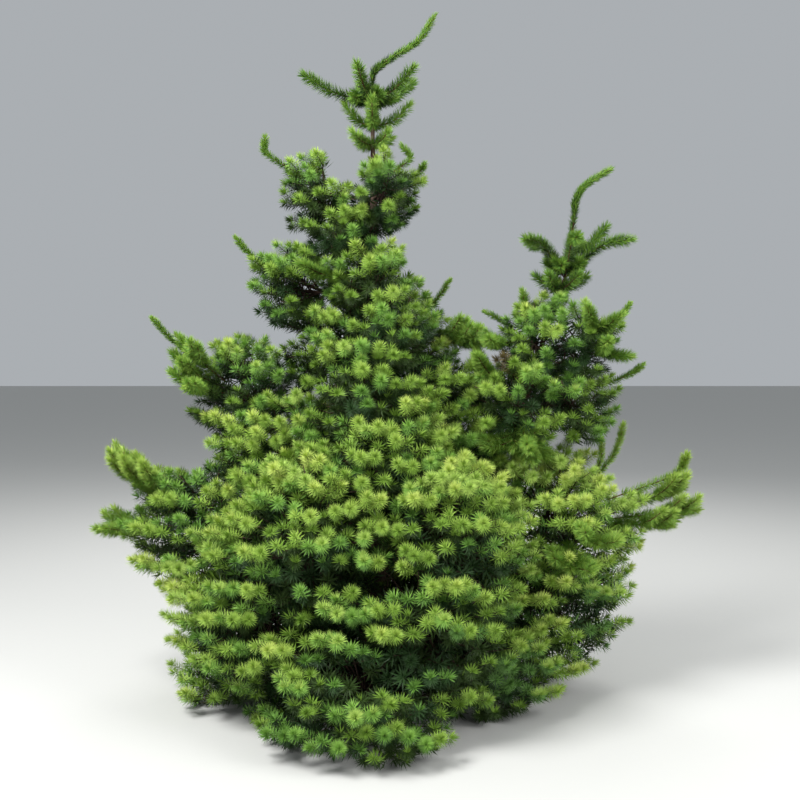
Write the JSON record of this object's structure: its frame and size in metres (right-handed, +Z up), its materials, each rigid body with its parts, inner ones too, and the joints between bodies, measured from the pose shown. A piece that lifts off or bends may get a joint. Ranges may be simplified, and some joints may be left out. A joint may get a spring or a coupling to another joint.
{
  "type": "douglas fir tree",
  "caption": "Young, very dense field-grown conifer, broad to the ground, with a narrow top, a bent leader and a second leader on its right.",
  "frame": {"origin": "middle of the flat cut under the trunk, at ground level", "axes": "+Z up along the trunk, -Y towards the picture's camera, +X towards the second leader"},
  "size_m": [2.3084, 1.7552, 2.5748],
  "materials": {
    "bark": "rough grey-brown young bark",
    "needles": "dense green needles, slightly waxy",
    "young_needles": "yellow-green new needles, slightly waxy"
  },
  "bodies": {
    "root": {"broad_bough_1": "bark", "broad_bough_2": "bark", "broad_bough_3": "bark", "broad_bough_4": "bark", "broad_bough_5": "bark", "broad_bough_6": "bark", "broad_foliage_1": "needles", "broad_foliage_2": "needles", "broad_foliage_3": "needles", "broad_foliage_4": "needles", "broad_foliage_5": "needles", "broad_foliage_6": "needles", "crest_foliage_1": "needles", "crest_foliage_2": "needles", "crest_foliage_3": "needles", "high_foliage_1": "needles", "high_foliage_2": "needles", "leader_foliage": "young_needles", "lower_bough_1": "bark", "lower_bough_2": "bark", "lower_bough_3": "bark", "lower_bough_4": "bark", "lower_bough_5": "bark", "lower_foliage_1": "needles", "lower_foliage_2": "needles", "lower_foliage_3": "needles", "lower_foliage_4": "needles", "lower_foliage_5": "needles", "middle_foliage_1": "needles", "middle_foliage_2": "needles", "middle_foliage_3": "needles", "middle_foliage_4": "needles", "neck_foliage_1": "needles", "neck_foliage_2": "needles", "neck_foliage_3": "needles", "second_high_foliage_1": "needles", "second_high_foliage_2": "needles", "second_leader_foliage": "young_needles", "second_low_foliage_1": "needles", "second_low_foliage_2": "needles", "second_low_foliage_3": "needles", "second_neck_foliage_1": "needles", "second_stem": "bark", "shelf_bough_4": "bark", "shelf_foliage_1": "needles", "shelf_foliage_2": "needles", "shelf_foliage_3": "needles", "shelf_foliage_4": "needles", "skirt_foliage_1": "needles", "skirt_foliage_2": "needles", "skirt_foliage_3": "needles", "skirt_foliage_4": "needles", "skirt_foliage_5": "needles", "spire_foliage_1": "needles", "spire_foliage_2": "needles", "trunk": "bark", "upper_foliage_1": "needles", "upper_foliage_2": "needles", "upper_foliage_3": "needles", "upper_foliage_4": "needles"}
  },
  "joints": []
}
